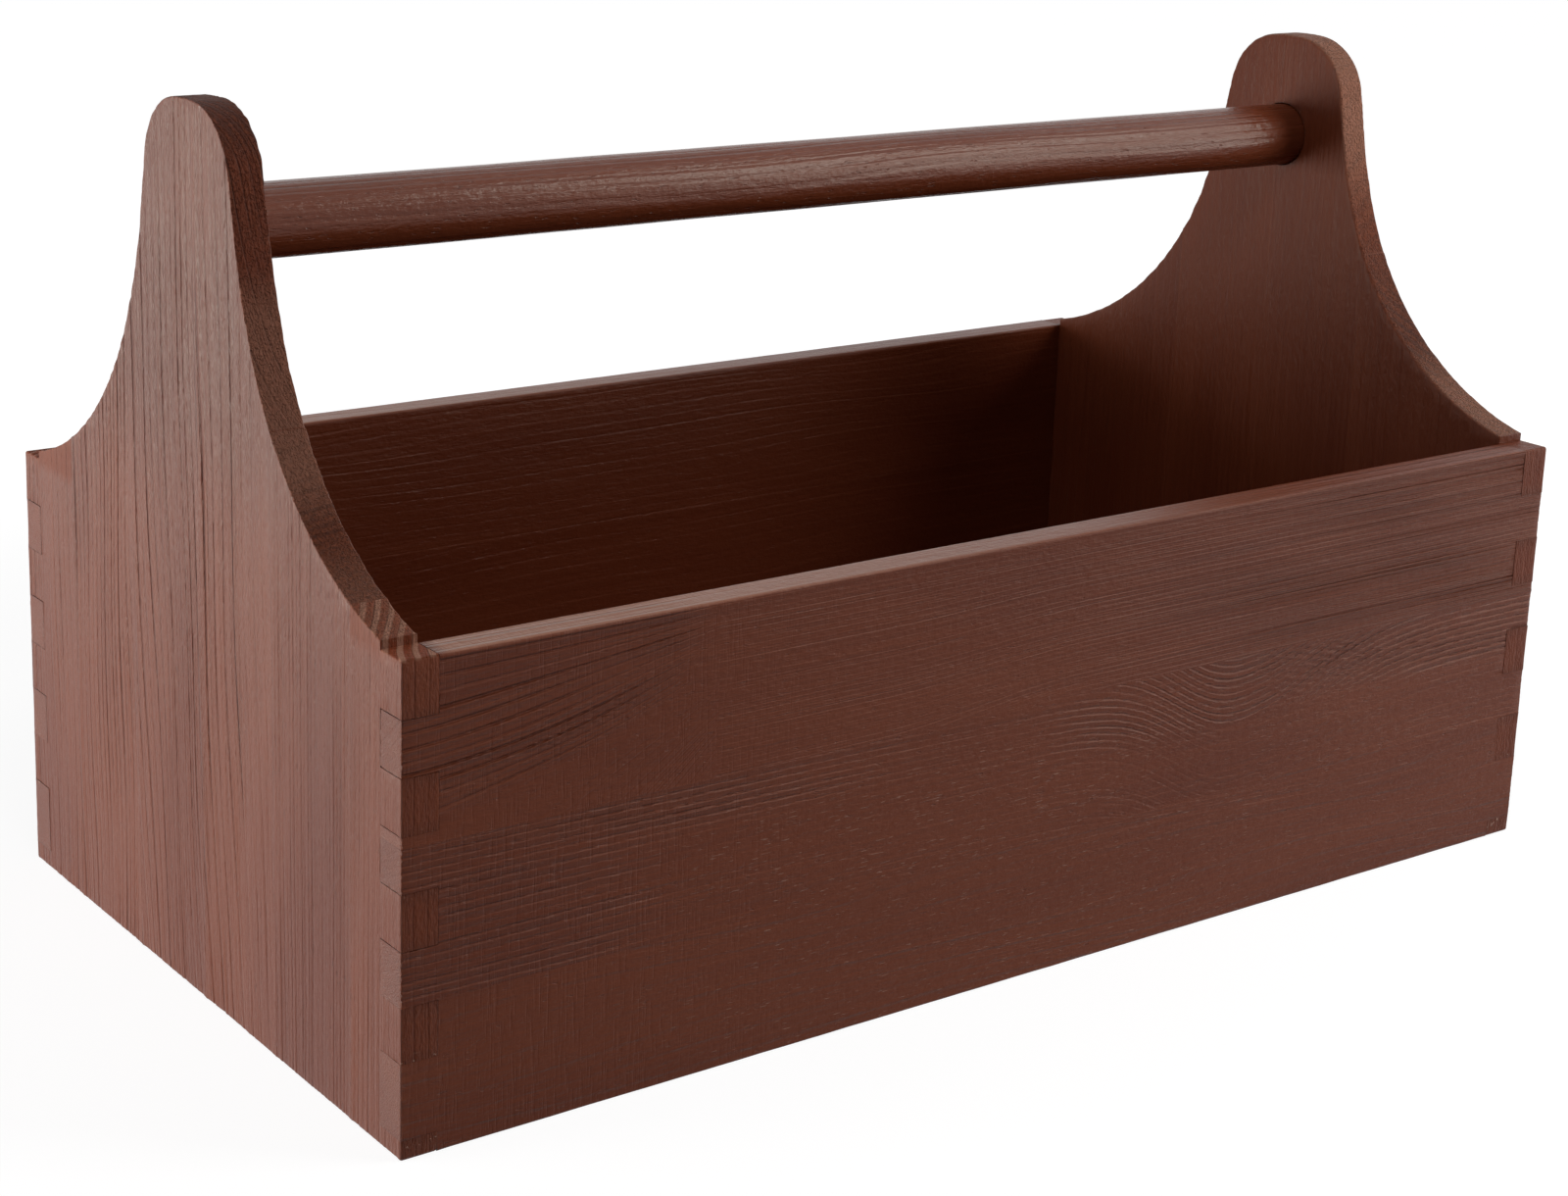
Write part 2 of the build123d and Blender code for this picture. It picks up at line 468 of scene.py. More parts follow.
def plate(name, outline, thickness, face, step_u, step_v, wall_rows):
    """A board with the given outline. face is that of its outside: axis, distance and side."""
    shape = outline.resampled(step_u, step_v)
    points = np.array(shape.points)
    plain = np.array([pair[0] for pair in shape.arrises])
    is_joint = plain <= joint_arris
    is_sawn = plain == sawn_arris
    outer, inner = (np.array([pair[k] for pair in shape.arrises]) for k in (0, 1))
    for radii, seed in ((outer, name), (inner, name + "inner")):
        joint, plain_edge, sawn = (ragged(radii, seed, *shares)
                                   for shares in (joint_varies, plain_varies, sawn_varies))
        radii[:] = np.where(is_sawn, sawn, np.where(is_joint, joint, plain_edge))
    angles = [math.pi / 2 * n / arris_steps for n in range(arris_steps + 1)]
    rows, wear, joint_shade, cut = [], [], [], []
    joint_share = corner_radii(np.where(plain == glue_arris, 0.0, is_joint.astype(float)))
    for angle in angles:
        ring = inset(points, outer, 1 - math.sin(angle))
        rows.append((ring, corner_radii(outer) * (1 - math.cos(angle))))
    wall_top, wall_foot = corner_radii(outer), thickness - corner_radii(inner)
    for n in range(1, wall_rows):
        rows.append((points, wall_top + (wall_foot - wall_top) * n / wall_rows))
    for angle in reversed(angles):
        ring = inset(points, inner, 1 - math.sin(angle))
        rows.append((ring, thickness - corner_radii(inner) * (1 - math.cos(angle))))
    last = len(rows) - 1
    for n in range(len(rows)):
        from_face = min(n, last - n)
        wear.append((1 - joint_share) * arris_wear[min(from_face, arris_steps + 1)])
        # Painted shade, darker deeper into the joints' walls
        joint_shade.append(joint_share * min(from_face / 2, 1))
        cut.append(is_sawn * min(from_face / 2, 1))
    count = len(points)
    vertices = [(u, v, d) for ring, depths in rows for (u, v), d in zip(ring, depths)]
    faces = []
    for row in range(last):
        for n in range(count):
            m = (n + 1) % count
            corners = ((row, n), (row + 1, n), (row + 1, m), (row, m))
            faces.append([line * count + v for line, v in corners])
    for row, level in ((0, 0.0), (last, thickness)):
        extra, triangles = face_grid(rows[row][0], step_u, step_v)
        base = len(vertices)
        vertices += [(u, v, level) for u, v in extra]
        for triangle in triangles:
            corners = [row * count + v if v < count else base + v - count for v in triangle]
            faces.append(corners[::-1] if row else corners)
    flat = np.array(vertices)
    axis, distance, side = face
    mesh = new_mesh(name, np.insert(flat[:, :2], axis, side * (distance - flat[:, 2]), axis=1), faces)
    for layer, values in (("edge", wear), ("seam", joint_shade), ("sawn", cut)):
        values = np.concatenate(values)
        keep(mesh, layer, np.append(values, np.zeros(len(vertices) - len(values))))
    face_outwards(mesh, merge_distance)
    return new_object(name, mesh)


def smoothstep(low, high, value):
    t = np.clip((value - low) / (high - low), 0, 1)
    return t * t * (3 - 2 * t)


def wander(seed, along, across, length, width):
    """Slow smooth noise from about -1 to 1, drawn out along the grain."""
    waves = 5
    draw = random.Random(seed)
    total = np.zeros_like(along)
    for _ in range(waves):
        turns = along / length * draw.uniform(0.4, 1.6) + across / width * draw.uniform(0.3, 1.4)
        total += np.sin(2 * math.pi * turns + draw.uniform(0, 2 * math.pi))
    return total / math.sqrt(waves) / 1.4


def fine_ridges(seed, along, across):
    """Ridges from 0 to 1 a millimetre or two apart, which change slowly along the grain."""
    count, spacing = 700, 1.15
    draw = random.Random(seed)
    tables = [[draw.random() for _ in range(count)] for _ in range(2)]
    ends = np.arange(-count // 2, count // 2) * spacing
    first, second = (np.interp(across, ends, table) for table in tables)
    share = np.clip(0.5 + 0.8 * wander(seed + 1, along, across, 240, 90), 0, 1)
    return first * share + second * (1 - share)


def steady(strength):
    """The same strength at every place."""
    return lambda along, across: np.full_like(along, strength)


@dataclass
class Grain:
    """How the growth rings of one stave meet its faces, in millimetres."""

    seed: int
    spacing: float  # between rings across the face
    vigour: Callable  # how strongly they show at each place
    lean: float  # how far a ring shifts across for each millimetre of depth
    sway: float  # slow wander of the rings
    relief: float = 0.12  # depth of the mesh's grooves and fine ridges
    drift: float = 0.0  # how far a ring shifts across for each millimetre along
    warp: Callable = steady(0.0)  # shift of the rings at each place
    fibre: float = 1.0  # strength of the fine lines between rings
    brush: Callable = steady(0.0)  # scratches across the grain
    specks: Callable = steady(0.0)  # of pale paint
    dash: float = 0.3  # how much a ring's groove breaks up into dashes


def apply_grain(piece, grain, axes, face, borders, tip_axis):
    """Stores what the material needs at each vertex, and presses the rings into the surface.

    axes are those along the grain and across it; face is (axis, distance, side) of the outside.
    """
    mesh = piece.data
    places = vertex_places(mesh)
    normals = vectors(mesh.vertex_normals, "vector")
    along, across = (places[:, axis] for axis in axes)
    face_axis, distance, side = face
    depth = distance - side * places[:, face_axis]
    shift = grain.sway * wander(grain.seed, along, across, 260, 60)
    shifted = across + grain.lean * depth + grain.drift * along + shift + grain.warp(along, across)
    ring = shifted / grain.spacing + 0.25 * wander(grain.seed + 7, along * 0.2, across, 260, 40)
    patches = 0.85 + 0.3 * wander(grain.seed + 11, along, across, 160, 30)
    draw = random.Random(grain.seed + 13)
    chances = np.array([draw.uniform(0.6, 1.4) for _ in range(ring_chances)])
    chance = chances[np.rint(ring).astype(int) % ring_chances]
    vigour = np.clip(grain.vigour(along, across) * patches * chance, 0.02, 1.6)
    end_grain = smoothstep(0.28, 0.75, np.abs(normals[:, axes[0]]))
    cut = kept(mesh, "sawn")
    tip = smoothstep(0.6, 0.9, np.abs(normals[:, tip_axis])) * (1 - cut)
    vigour = vigour * (1 - 0.5 * tip)
    at_rim = (np.abs(places[:, 2] - rim) < 1.2) * (axes[0] == 0)
    on_rim = smoothstep(0.6, 0.95, normals[:, 2]) * at_rim
    layers = {
        "ring": ring,
        "vigour": vigour,
        "pitch": np.full(len(places), grain.spacing),
        "fibre": grain.fibre * (1 - 0.6 * tip),
        "dash": np.full(len(places), grain.dash),
        "brush": grain.brush(along, across),
        "specks": grain.specks(along, across),
        "seed": np.full(len(places), grain.seed * 0.37),
        "end_grain": end_grain,
        "low_beads": 0.15 + 0.85 * smoothstep(60, 12, places[:, 2]),
        # Painted highlight: pale paint on the rims' tops, strongest at the left, where the lamp light
        # falls
        "painted_highlight": 0.60 * on_rim * smoothstep(230, -290, places[:, 0]),
    }
    for name, values in layers.items():
        keep(mesh, name, values)
    part = ring - np.floor(ring)
    to_line = np.abs(ring - np.rint(ring)) * grain.spacing
    hollow = hollow_share * min(grain.spacing, widest_hollow)
    relief = hollow * vigour * (1 - smoothstep(0.15, 0.95, part))
    relief += grain.relief * vigour * (1 - smoothstep(0.2, 0.9, to_line))
    ridges = fine_ridges(grain.seed + 17, along, shifted)
    relief += 0.8 * grain.relief * (0.3 + 0.7 * vigour) * ridges
    relief *= (1 - 0.5 * tip) * (1 - 0.6 * cut)
    relief += unevenness * (1 + wander(grain.seed + 5, along, across, 90, 25))
    relief *= smoothstep(0.3, 4, across - borders[0]) * smoothstep(0.3, 4, borders[1] - across)
    moved = places - normals * np.clip(relief, 0, deepest_relief)[:, None]
    moved = np.clip(moved, low_corner + box_margin, high_corner - box_margin)
    mesh.vertices.foreach_set("co", (moved * MM).astype(np.float32).ravel())
    mesh.update()


# Materials

def socket_in(tree, socket, value):
    if isinstance(value, bpy.types.NodeSocket):
        tree.links.new(value, socket)
    else:
        socket.default_value = value


def calc(tree, operation, *values, clamp=False):
    node = tree.nodes.new("ShaderNodeMath")
    node.operation = operation
    node.use_clamp = clamp
    for socket, value in zip(node.inputs, values):
        socket_in(tree, socket, value)
    return node.outputs[0]


def product(tree, *values):
    total = values[0]
    for value in values[1:]:
        total = calc(tree, "MULTIPLY", total, value)
    return total


def read(tree, name):
    node = tree.nodes.new("ShaderNodeAttribute")
    node.attribute_name = name
    return node.outputs["Fac"]


def place_scaled(tree, scale, seed):
    """Object position times a scale for each axis, moved for each stave."""
    where = tree.nodes.new("ShaderNodeTexCoord").outputs["Object"]
    node = tree.nodes.new("ShaderNodeVectorMath")
    node.operation = "MULTIPLY_ADD"
    tree.links.new(where, node.inputs[0])
    node.inputs[1].default_value = scale
    shift = tree.nodes.new("ShaderNodeCombineXYZ")
    for socket in shift.inputs:
        tree.links.new(seed, socket)
    tree.links.new(shift.outputs[0], node.inputs[2])
    return node.outputs[0]


def noise(tree, place, detail, roughness, dimensions="3D"):
    node = tree.nodes.new("ShaderNodeTexNoise")
    node.noise_dimensions = dimensions
    tree.links.new(place, node.inputs["W" if dimensions == "1D" else "Vector"])
    node.inputs["Scale"].default_value = 1.0
    node.inputs["Detail"].default_value = detail
    node.inputs["Roughness"].default_value = roughness
    return node.outputs["Fac"]


def between(tree, value, low, high, to_low=0.0, to_high=1.0):
    node = tree.nodes.new("ShaderNodeMapRange")
    node.interpolation_type = "SMOOTHSTEP"
    given = {"Value": value, "From Min": low, "From Max": high, "To Min": to_low, "To Max": to_high}
    for name, number in given.items():
        socket_in(tree, node.inputs[name], number)
    return node.outputs["Result"]


def mix_colour(tree, share, first, second):
    node = tree.nodes.new("ShaderNodeMix")
    node.data_type = "RGBA"
    socket_in(tree, node.inputs["Factor"], share)
    socket_in(tree, node.inputs[6], first)
    socket_in(tree, node.inputs[7], second)
    return node.outputs[2]


def srgb(red, green, blue):
    """A colour from 0 to 255 as shown on a screen, in the shader's own scale."""
    shown = [v / 255 for v in (red, green, blue)]
    linear = (v / 12.92 if v <= 0.04045 else ((v + 0.055) / 1.055) ** 2.4 for v in shown)
    return (*linear, 1.0)


paint_colour = srgb(111, 55, 35)
paint_dark = srgb(96, 43, 26)
# Dark colour of the rings' grooves and strands, also used for painted shade
groove_and_shade_colour = srgb(70, 26, 12)
ridge_colour = srgb(136, 76, 54)
# Colour of the painted shade in the joints and the handle's socket
joint_shade_colour = srgb(40, 14, 7)
end_grain_dark = srgb(46, 17, 9)
end_grain_brown = srgb(98, 48, 28)
end_grain_pale = srgb(158, 114, 98)
bare_wood = srgb(118, 53, 30)
# Pale colour of the painted highlight on the rims and the sawn edges
painted_highlight_colour = srgb(188, 138, 120)
speck_colour = srgb(180, 148, 136)


def painted_wood(name, along, roughness, specular, groove_tint, strand_contrast, depths):
    """Thin satin paint over wood whose grain runs along one axis; depths are in millimetres."""
    material = bpy.data.materials.new(name)
    material.use_nodes = True
    tree = material.node_tree
    shader = tree.nodes["Principled BSDF"]
    layers = ("ring", "vigour", "pitch", "fibre", "dash", "brush", "specks", "seed", "end_grain",
              "edge", "seam", "sawn", "bare", "painted_highlight", "low_beads", "shade")
    (ring, vigour, pitch, fibre_share, dash, brush, specks, seed, end_grain,
     edge, seam, sawn, bare, painted_highlight, low_beads, shade) = (read(tree, layer) for layer in layers)
    axis = "XYZ".index(along)

    def texture(long_mm, short_mm, detail, roughness):
        """Noise drawn out along the grain."""
        scale = [1000 / short_mm] * 3
        scale[axis] = 1000 / long_mm
        return noise(tree, place_scaled(tree, scale, seed), detail, roughness)

    def ramp(*numbers):
        return between(tree, *numbers)

    def times(*values):
        return product(tree, *values)

    def tinted(colour, share, strength, tint):
        return mix_colour(tree, calc(tree, "MULTIPLY", share, strength, clamp=True), colour, tint)

    # Rings: a thin groove at each whole number, a ridge of late wood before it, and finer strands
    open_grain = calc(tree, "MAXIMUM", sawn, bare)
    part = calc(tree, "FRACT", ring)
    painted_end = times(end_grain, calc(tree, "SUBTRACT", 1.0, open_grain))
    on_face = calc(tree, "MULTIPLY_ADD", painted_end, -0.6, 1.0)
    strength = times(vigour, on_face)
    to_line = times(calc(tree, "PINGPONG", ring, 0.5), pitch)
    dashes = ramp(texture(7, 0.9, 2, 0.6), 0.42, 0.58)
    broken = calc(tree, "MULTIPLY_ADD", calc(tree, "SUBTRACT", dashes, 1.0), dash, 1.0)
    groove = times(ramp(to_line, 0.15, 0.85, 1.0, 0.0), strength, broken)
    late_wood = times(ramp(part, 0.40, 0.80), ramp(part, 1.0, 0.84))
    ridge = times(late_wood, vigour, on_face, calc(tree, "MINIMUM", pitch, 7.0))
    across = calc(tree, "MULTIPLY_ADD", times(ring, pitch), 0.45, seed)
    strands = noise(tree, across, 2, 0.6, "1D")
    strand_strength = times(calc(tree, "MULTIPLY_ADD", vigour, 0.8, 0.2), on_face)

    # Texture between the rings
    fibre = texture(90, 2.2, 2, 0.55)
    hair = texture(4.0, 0.55, 2, 0.6)
    cloud = texture(220, 55, 2, 0.5)
    grit = texture(2.2, 1.3, 2, 0.65)
    lumps = texture(5.5, 3.2, 2, 0.6)
    pits = times(ramp(texture(4.5, 0.9, 1, 0.5), 0.68, 0.76), fibre_share)
    pores = times(ramp(texture(1.2, 0.9, 1, 0.5), 0.48, 0.64), sawn)
    scratch = times(ramp(texture(1.2, 16, 2, 0.6), 0.48, 0.72), brush)
    flecks = ramp(texture(5.5, 0.55, 1, 0.5), 0.67, 0.76)
    speck = times(flecks, ramp(cloud, 0.40, 0.60), specks)
    drops = ramp(texture(1.3, 1.3, 0, 0.5), 0.72, 0.77)
    bead = times(drops, ramp(seam, 0.05, 0.4), low_beads)

    # Colour of the painted faces
    tone = calc(tree, "MULTIPLY_ADD", fibre, 0.25, times(cloud, 0.75))
    colour = mix_colour(tree, ramp(tone, 0.25, 0.70), paint_dark, paint_colour)
    on_cut = calc(tree, "MULTIPLY_ADD", sawn, 0.8, 1.0)
    strand_tint = times(strand_strength, strand_contrast, on_cut)
    pale = times(ramp(strands, 0.50, 0.66), strand_tint)
    deep = times(ramp(strands, 0.50, 0.36), strand_tint)
    colour = tinted(colour, pale, 0.55, ridge_colour)
    colour = tinted(colour, deep, 0.80, groove_and_shade_colour)
    # Darker grooves: the rings' own dark lines and painted shade in the grooves
    colour = tinted(colour, groove, groove_tint, groove_and_shade_colour)
    colour = tinted(colour, pits, 0.35, groove_and_shade_colour)
    colour = tinted(colour, scratch, 0.12, paint_dark)

    # End grain and the sawn edge: pale late wood, dark or bare early wood between it
    wide = ramp(pitch, 2.5, 7.0)
    band = ramp(part, 0.48, 0.58), ramp(part, 1.0, 0.92)
    dark_band = ramp(part, 0.35, 0.55), ramp(part, 0.98, 0.80)
    rough_wood = ramp(grit, 0.30, 0.80, 0.0, 0.8)
    bare_share = times(bare, ramp(grit, 0.30, 0.60))
    open_wood = mix_colour(tree, rough_wood, end_grain_brown, end_grain_dark)
    open_wood = tinted(open_wood, times(*dark_band, wide, sawn), 0.7, end_grain_dark)
    open_wood = mix_colour(tree, bare_share, open_wood, bare_wood)
    open_wood = tinted(open_wood, times(*band, wide, bare), 0.9, end_grain_pale)
    cut_share = times(end_grain, calc(tree, "MULTIPLY_ADD", open_grain, 0.80, 0.08))
    colour = mix_colour(tree, cut_share, colour, open_wood)
    colour = tinted(colour, times(groove, sawn), 0.9, end_grain_dark)
    colour = tinted(colour, pores, 0.3, end_grain_dark)

    # Painted highlight and painted shade, wear along the edges, painted shade in the joints, and
    # specks of pale paint
    colour = mix_colour(tree, painted_highlight, colour, painted_highlight_colour)
    # Painted shade: darker paint on the left end's neck and on the back board's inside
    colour = mix_colour(tree, shade, colour, groove_and_shade_colour)
    colour = tinted(colour, times(edge, ramp(fibre, 0.40, 0.65)), 0.35, ridge_colour)
    # Painted shade in the joints and the handle's socket
    colour = tinted(colour, seam, 0.40, joint_shade_colour)
    colour = tinted(colour, bead, 0.7, speck_colour)
    colour = tinted(colour, speck, 0.32, speck_colour)
    tree.links.new(colour, shader.inputs["Base Color"])

    rough = calc(tree, "MULTIPLY_ADD", fibre, 0.16, roughness - 0.08)
    rough = calc(tree, "MULTIPLY_ADD", open_grain, 0.20, rough)
    tree.links.new(rough, shader.inputs["Roughness"])
    shader.inputs["Specular IOR Level"].default_value = specular

    shares = {
        "groove": groove, "ridge": ridge,
        "strands": times(strands, strand_strength, fibre_share),
        "fibre": times(fibre, fibre_share), "hair": hair, "grit": grit, "lumps": lumps,
        "scratch": scratch, "pits": pits, "pores": pores, "bead": bead, "speck": speck,
    }
    height = 0.0
    for key, share in shares.items():
        height = calc(tree, "MULTIPLY_ADD", share, depths[key], height)
    bump = tree.nodes.new("ShaderNodeBump")
    bump.inputs["Strength"].default_value = 1.0
    bump.inputs["Distance"].default_value = MM
    tree.links.new(height, bump.inputs["Height"])
    tree.links.new(bump.outputs[0], shader.inputs["Normal"])
    return material


board_depths = {
    "groove": -0.40, "ridge": 0.06, "strands": 0.50, "fibre": 0.35, "hair": 0.14, "grit": 0.12,
    "lumps": 0.30, "scratch": -0.10, "pits": -0.15, "pores": -0.3, "bead": 0.12, "speck": 0.06,
}
end_depths = board_depths | {
    "groove": -0.50, "ridge": 0.05, "strands": 0.60, "fibre": 0.60, "hair": 0.45, "lumps": 0.12,
    "pores": -0.15,
}
edge_depths = end_depths | {
    "groove": -0.90, "strands": 1.00, "grit": 0.45, "lumps": 0.30, "pores": -0.45,
}
inner_depths = board_depths | {"groove": -0.25, "strands": 0.30, "fibre": 0.25}
handle_depths = board_depths | {"strands": 0.20, "fibre": 0.22, "lumps": 0.30}
# Grain axis, roughness, specular level, tint of the grooves, contrast of the strands, depths
looks = {
    "left_end": ("Z", 0.36, 0.32, 0.62, 0.20, end_depths),
    "right_end": ("Z", 0.40, 0.16, 0.20, 0.05, inner_depths),
    "end_edges": ("Z", 0.40, 0.12, 0.80, 0.40, edge_depths),
    "long_boards": ("X", 0.34, 0.14, 0.45, 0.16, board_depths),
    "board_tips": ("X", 0.36, 0.32, 0.50, 0.20, end_depths),
    "handle": ("X", 0.25, 0.26, 0.15, 0.06, handle_depths),
    "bottom_panel": ("X", 0.36, 0.15, 0.50, 0.30, board_depths),
}
materials = {name: painted_wood(f"painted_{name}", *look) for name, look in looks.items()}


def finish_piece(piece, node, material, across=None):
    """Gives a piece its material, and another one to the faces that look along X."""
    sharp_angle, faces_along_x = 35, 0.6
    mesh = piece.data
    mesh.shade_smooth()
    mesh.set_sharp_from_angle(angle=math.radians(sharp_angle))
    mesh.materials.append(materials[material])
    if across:
        mesh.materials.append(materials[across])
        along_x = np.abs(vectors(mesh.polygon_normals, "vector")[:, 0])
        mesh.polygons.foreach_set("material_index", (along_x > faces_along_x).astype(np.int32))
    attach(piece, "root")
    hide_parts(node)


def circle(radius, x):
    """Points round the handle's axis."""
    turns = (2 * math.pi * k / round_steps for k in range(round_steps))
    return [(x, radius * math.cos(turn), handle_height + radius * math.sin(turn)) for turn in turns]


def tube_faces(rings):
    """Faces between rings of points, and a cap at each end."""
    faces = []
    for first in range(0, (rings - 1) * round_steps, round_steps):
        for k in range(round_steps):
            m = (k + 1) % round_steps
            faces.append([first + k, first + m, first + round_steps + m, first + round_steps + k])
    last = (rings - 1) * round_steps
    faces.append(list(range(round_steps))[::-1])
    faces.append(list(range(last, last + round_steps)))
    return faces


# Ends

def cut_socket(piece, side):
    """Drills the blind hole that the handle sits in."""
    play, past_bottom, past_mouth = 0.25, 0.02, 6.0
    radius = handle_radius + play
    bottom, mouth = handle_high[0] + past_bottom, inner_half_length - past_mouth
    mesh = new_mesh("socket_cutter", circle(radius, side * mouth) + circle(radius, side * bottom),
                    tube_faces(2))
    face_outwards(mesh)
    cutter = new_object("socket_cutter", mesh)
    drill = piece.modifiers.new("socket", "BOOLEAN")
    drill.operation = "DIFFERENCE"
    drill.solver = "EXACT"
    drill.object = cutter
    bpy.context.view_layer.update()
    evaluated = piece.evaluated_get(bpy.context.evaluated_depsgraph_get())
    drilled = bpy.data.meshes.new_from_object(evaluated)
    piece.modifiers.clear()
    piece.data = drilled
    bpy.data.objects.remove(cutter)
    places = vertex_places(drilled)
    from_axis = np.hypot(places[:, 1], places[:, 2] - handle_height)
    along = np.abs(places[:, 0])
    # Painted shade on the socket's wall, stored with the joints' painted shade
    in_socket = (from_axis < radius + 0.05) & (along > inner_half_length - 1) & (along < bottom + 1)
    keep(drilled, "seam", np.maximum(kept(drilled, "seam"), in_socket))


def faint_crown(along, across):
    """Rings fade towards the top of an end, and a little towards the floor."""
    return (0.5 + 0.5 * smoothstep(305, 262, along)) * (0.65 + 0.35 * smoothstep(40, 170, along))


def smooth_then_strong(along, across):
    """The third stave is smooth at its front edge and has the strongest rings behind that."""
    return (0.25 + 0.75 * smoothstep(-42, -34, across)) * faint_crown(along, across) * 1.35


def settling(along, across):
    """Rings drift towards the back lower down."""
    return 0.00012 * (top - along) ** 2


def painted_edge_highlight(mesh, side):
    """Painted highlight along the sawn edge: pale paint at the left end's neck and low in its sweep,
    and at the right end's neck and low in its sweep.
    """
    height = vertex_places(mesh)[:, 2]
    if side < 0:
        neck = smoothstep(198, 222, height) * smoothstep(284, 262, height)
        wear = 0.34 * neck + 0.12 * smoothstep(200, 186, height)
    else:
        wear = 0.36 * smoothstep(250, 300, height) + 0.28 * smoothstep(210, 185, height)
    return kept(mesh, "sawn") * wear


def painted_neck_shade(mesh):
    """Painted shade: the left end's outside is darker above the rim, to hold back the lamp light
    there.
    """
    height = vertex_places(mesh)[:, 2]
    return 0.42 * smoothstep(175, 235, height) * (1 - 0.3 * smoothstep(275, 300, height))


def strong_below(strength):
    """Rings of this strength that fade as in faint_crown."""
    return lambda along, across: strength * faint_crown(along, across)


left_grains = [
    Grain(11, 8.8, steady(0.42), lean=-1.6, sway=0.8, relief=0.16),
    Grain(12, 2.6, steady(0.42), lean=-0.1, sway=0.8, relief=0.20, fibre=1.2),
    Grain(13, 7.6, smooth_then_strong, lean=1.9, sway=2.0, relief=0.40, warp=settling),
    Grain(14, 4.8, strong_below(0.95), lean=1.2, sway=1.5, relief=0.26, warp=settling),
    Grain(15, 3.7, strong_below(0.85), lean=0.5, sway=1.5, relief=0.22),
    Grain(16, 5.0, steady(0.5), lean=-0.9, sway=1.5, relief=0.20),
]
right_grains = [
    Grain(seed, spacing, steady(0.16), lean, sway, relief=0.06, fibre=0.5)
    for seed, spacing, lean, sway in ((21, 8.2, -1.5, 1.4), (22, 6.0, -0.9, 2.2), (23, 3.2, 0.2, 1.4),
                                      (24, 7.4, 1.2, 3.0), (25, 4.2, 0.4, 1.6), (26, 6.4, -0.7, 1.6))
]

for side, name, grains in ((-1, "left_end", left_grains), (1, "right_end", right_grains)):
    for number, grain in enumerate(grains, 1):
        node = f"{name}_stave_{number}"
        near, far = (corner.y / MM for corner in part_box(node))
        face = (0, half_length, side)
        piece = plate(f"{node}_painted", end_stave_outline(near, far), board, face,
                      fine_step if side < 0 else across_step, along_step, wall_rows=8)
        if near < handle_radius and far > -handle_radius:
            cut_socket(piece, side)
        is_bare = side < 0 and number in (1, len(grains))
        height = vertex_places(piece.data)[:, 2]
        keep(piece.data, "bare", smoothstep(rim - 1.5, rim - 0.5, height) * is_bare)
        apply_grain(piece, grain, (2, 1), face, borders=(near, far), tip_axis=1)
        # Painted highlight: pale paint along the sawn edges of the ends
        keep(piece.data, "painted_highlight", painted_edge_highlight(piece.data, side))
        # Painted shade on the left end's neck
        if side < 0:
            keep(piece.data, "shade", painted_neck_shade(piece.data))
        finish_piece(piece, node, "end_edges", across=name)


# Long boards

def rising_rings(along, across):
    """Broad rings at the left that close up towards the rim, and narrower ones at the right."""
    from_left, below = along + half_length, rim - across
    reach = np.clip(from_left / 100, 0, 1.25)
    return -below * (1 / (1 - 0.45 * reach ** 1.4) - 1 + 0.35 * smoothstep(200, 300, from_left))


def rising_vigour(along, across):
    """Strong rings at the left and weaker ones from the middle to the right."""
    from_left, below = along + half_length, rim - across
    at_left = below - rising_rings(along, across)
    left = 1.05 * (1 - smoothstep(98, 122, from_left)) * (1 - smoothstep(46, 62, at_left))
    return left + 0.12 + 0.60 * smoothstep(280, 470, from_left)


def sagging_rings(along, across):
    """Rings that dip in a U to the right of the middle."""
    width = np.where(along < 100, 44, 66)
    return 30 * np.exp(-((along - 100) / width) ** 2) + 0.012 * along


def sagging_vigour(along, across):
    """Long lines and dense ones at the left, and the dip with its left arm."""
    from_left, below = along + half_length, rim - across
    upper = 1 - smoothstep(84, 92, below)
    long_lines = 0.50 * (1 - smoothstep(140, 260, from_left)) * (1 - smoothstep(77, 82, below))
    dense = 0.50 * (1 - smoothstep(70, 120, from_left)) * smoothstep(77, 82, below)
    dip = 0.75 * upper * smoothstep(330, 385, from_left)
    arm = 0.35 * upper * smoothstep(270, 310, from_left) * (1 - smoothstep(330, 385, from_left))
    return 0.10 + long_lines + dense + dip + arm


def left_brushed(along, across):
    """Scratches across the front board, strongest at its left."""
    return 0.9 - 0.8 * smoothstep(60, 200, along + half_length)


def speckled(along, across):
    """Specks in the lower part, fewer at the right."""
    from_left, below = along + half_length, rim - across
    fewer = 0.4 + 0.6 * (1 - smoothstep(360, 480, from_left))
    return smoothstep(60, 150, from_left) * smoothstep(60, 90, below) * fewer


painting = {"brush": left_brushed, "specks": speckled}
front_grains = [
    Grain(31, 5.4, rising_vigour, lean=0.9, sway=0.6, relief=0.30, warp=rising_rings, fibre=0.7,
          dash=0.25, **painting),
    Grain(32, 2.9, sagging_vigour, lean=0.5, sway=0.6, relief=0.26, warp=sagging_rings, fibre=0.7,
          dash=0.8, **painting),
    Grain(33, 8.5, steady(0.22), lean=1.3, sway=2.5, relief=0.14, drift=0.02, fibre=0.8, dash=0.6,
          **painting),
]
back_grains = [
    Grain(seed, spacing, steady(0.12), lean, sway, relief=0.01, fibre=0.3)
    for seed, spacing, lean, sway in ((41, 4.6, 0.6, 1.8), (42, 7.0, 1.0, 3.0), (43, 3.6, 0.3, 1.5))
]

